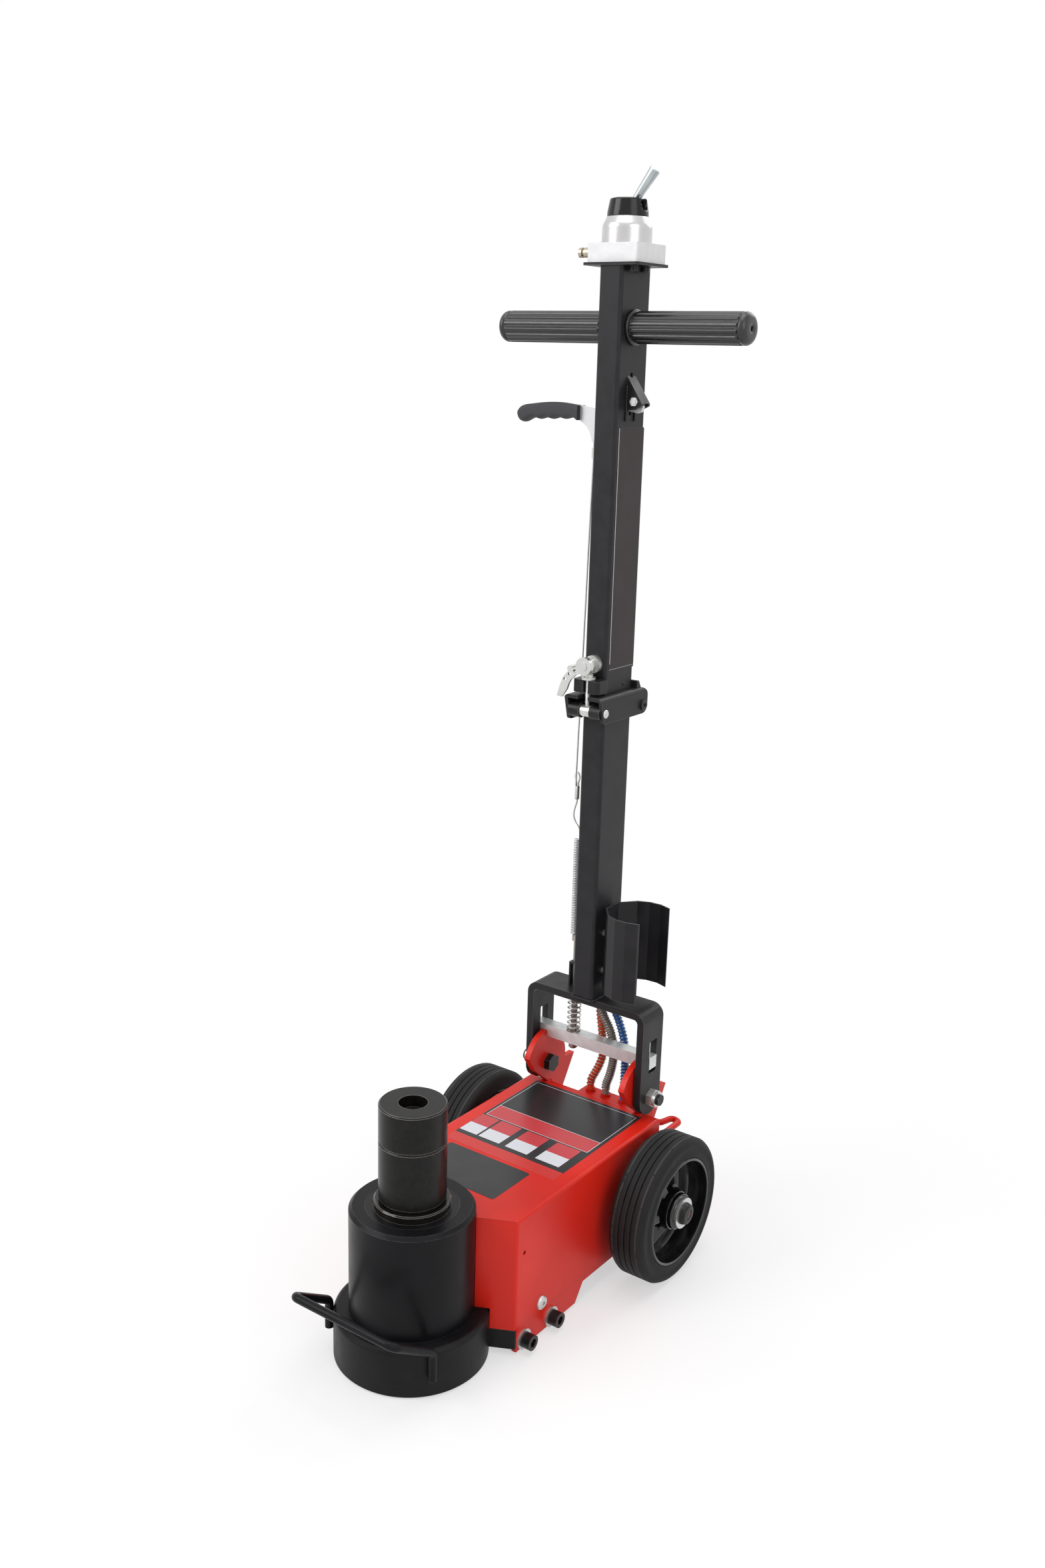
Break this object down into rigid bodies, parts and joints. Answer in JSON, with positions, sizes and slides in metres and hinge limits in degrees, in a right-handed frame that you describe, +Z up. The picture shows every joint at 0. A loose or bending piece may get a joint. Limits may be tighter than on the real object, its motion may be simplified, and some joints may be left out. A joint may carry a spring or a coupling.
{
  "type": "air hydraulic jack",
  "caption": "Wheeled air hydraulic jack: telescopic ram with stacked adapters, red sheet chassis, folding tow handle with lock lever and air valve.",
  "frame": {"origin": "centre of the foot's underside, on the floor, on the ram's axis", "axes": "+X towards the right wheel, +Y rearwards from the ram to the handle, +Z up along the ram"},
  "size_m": [0.3544, 0.5293, 1.2792],
  "materials": {
    "red_enamel": "semi-gloss enamel",
    "black_cast": "satin black, cast",
    "black_satin": "satin black, turned",
    "gland_steel": "blackened",
    "ram_steel": "blackened and oiled, turned",
    "adapter_steel": "speckled black oxide",
    "handle_powder": "fine powder coat",
    "zinc": "bright zinc plate",
    "spring_steel": "bright",
    "black_bolt": "black oxide",
    "tyre_rubber": "matt",
    "rim_black": "gloss",
    "grip_rubber": "satin",
    "foam": "matt foam",
    "white_metal": "silver white",
    "block_metal": "matt, cast",
    "dome_metal": "polished",
    "cap_plastic": "gloss",
    "nickel": "dull, warm",
    "motor_metal": "cast",
    "hose_rubber": "satin"
  },
  "bodies": {
    "jack_base": {"foot_casting": "black_cast", "cylinder_barrel": "black_satin", "gland_nut": "gland_steel", "carry_handle": "black_satin", "chassis_cover": "red_enamel", "side_plates": "red_enamel", "side_ears": "red_enamel", "rear_loop": "red_enamel", "hose_manifold": "black_cast", "air_motor": "motor_metal", "cap_screws": "black_bolt", "screw_washers": "zinc", "button_screws": "zinc", "axle": "zinc", "hub_washers": "zinc", "axle_nuts": "black_bolt", "pivot_bolts": "black_bolt", "pivot_washers": "zinc", "pivot_nuts": "zinc"},
    "ram_stage_1": {"ram_stage_1": "ram_steel"},
    "ram_stage_2": {"ram_stage_2": "ram_steel"},
    "adapter_tall": {"adapter_tall": "adapter_steel"},
    "adapter_short": {"adapter_short": "adapter_steel"},
    "wheel_left": {"tyre_left": "tyre_rubber", "rim_left": "rim_black"},
    "wheel_right": {"tyre_right": "tyre_rubber", "rim_right": "rim_black"},
    "lower_handle": {"handle_fork": "handle_powder", "lower_tube": "handle_powder", "storage_tray": "handle_powder", "tray_screws": "zinc", "rod_guide": "handle_powder", "hinge_bracket": "handle_powder", "hinge_pins": "zinc", "clamp_barrels": "black_bolt", "hoses": "hose_rubber", "cable": "spring_steel"},
    "lock_slide": {"lock_bar": "zinc", "pull_rod": "zinc", "lock_spring": "spring_steel", "return_spring": "spring_steel", "cable_link": "spring_steel"},
    "upper_handle": {"upper_tube": "handle_powder", "hinge_leaf": "handle_powder", "clamp_keeper": "handle_powder", "t_bar": "handle_powder", "grips": "grip_rubber", "top_plate": "handle_powder", "plate_bolts": "black_bolt", "valve_block": "block_metal", "valve_dome": "dome_metal", "valve_cap": "cap_plastic", "air_inlet": "nickel", "lever_pivot": "zinc"},
    "squeeze_lever": {"squeeze_lever": "white_metal", "lever_grip": "foam"},
    "toggle_lever": {"toggle_lever": "zinc"},
    "swing_bolt": {"swing_bolt": "zinc", "clamp_washer": "zinc"},
    "cam_lever": {"cam_lever": "zinc"}
  },
  "joints": [
    {"name": "ram_stage_1_lift", "type": "slide", "parent": "jack_base", "child": "ram_stage_1", "axis": [0, 0, 1], "range_m": [0, 0.074]},
    {"name": "ram_stage_2_lift", "type": "slide", "parent": "ram_stage_1", "child": "ram_stage_2", "axis": [0, 0, 1], "range_m": [0, 0.074]},
    {"name": "adapter_tall_lift_off", "type": "slide", "parent": "ram_stage_2", "child": "adapter_tall", "axis": [0, 0, 1], "range_m": [0, 0.1]},
    {"name": "adapter_short_lift_off", "type": "slide", "parent": "adapter_tall", "child": "adapter_short", "axis": [0, 0, 1], "range_m": [0, 0.1]},
    {"name": "wheel_left_spin", "type": "hinge", "parent": "jack_base", "child": "wheel_left", "pos_m": [0, 0.3053, 0.09], "axis": [1, 0, 0], "continuous": true},
    {"name": "wheel_right_spin", "type": "hinge", "parent": "jack_base", "child": "wheel_right", "pos_m": [0, 0.3053, 0.09], "axis": [1, 0, 0], "continuous": true},
    {"name": "handle_tilt", "type": "hinge", "parent": "jack_base", "child": "lower_handle", "pos_m": [0, 0.3513, 0.19935], "axis": [1, 0, 0], "range_deg": [-85, 0], "deforming": ["hoses"]},
    {"name": "lock_lift", "type": "slide", "parent": "lower_handle", "child": "lock_slide", "axis": [0, 0, 1], "range_m": [0, 0.014], "stiffness_N_per_m": 400, "springref_m": -0.02, "deforming": ["lock_spring"]},
    {"name": "handle_fold", "type": "hinge", "parent": "lower_handle", "child": "upper_handle", "pos_m": [0, 0.3895, 0.682], "axis": [1, 0, 0], "range_deg": [-150, 0], "deforming": ["cable"]},
    {"name": "squeeze", "type": "hinge", "parent": "upper_handle", "child": "squeeze_lever", "pos_m": [0.026, 0.3495, 1.034], "axis": [0, 1, 0], "range_deg": [0, 13.4]},
    {"name": "toggle", "type": "hinge", "parent": "upper_handle", "child": "toggle_lever", "pos_m": [0.004, 0.3515, 1.239], "axis": [0, 1, 0], "range_deg": [-76, 0]},
    {"name": "swing_bolt_fold", "type": "hinge", "parent": "upper_handle", "child": "swing_bolt", "pos_m": [0, 0.309, 0.684], "axis": [1, 0, 0], "range_deg": [0, 100]},
    {"name": "cam_release", "type": "hinge", "parent": "swing_bolt", "child": "cam_lever", "pos_m": [0, 0.309, 0.738], "axis": [0, 1, 0], "range_deg": [0, 110]}
  ],
  "couplings": [
    {"joint": "squeeze", "follows": "lock_lift", "rad_per_m": 16.7}
  ]
}
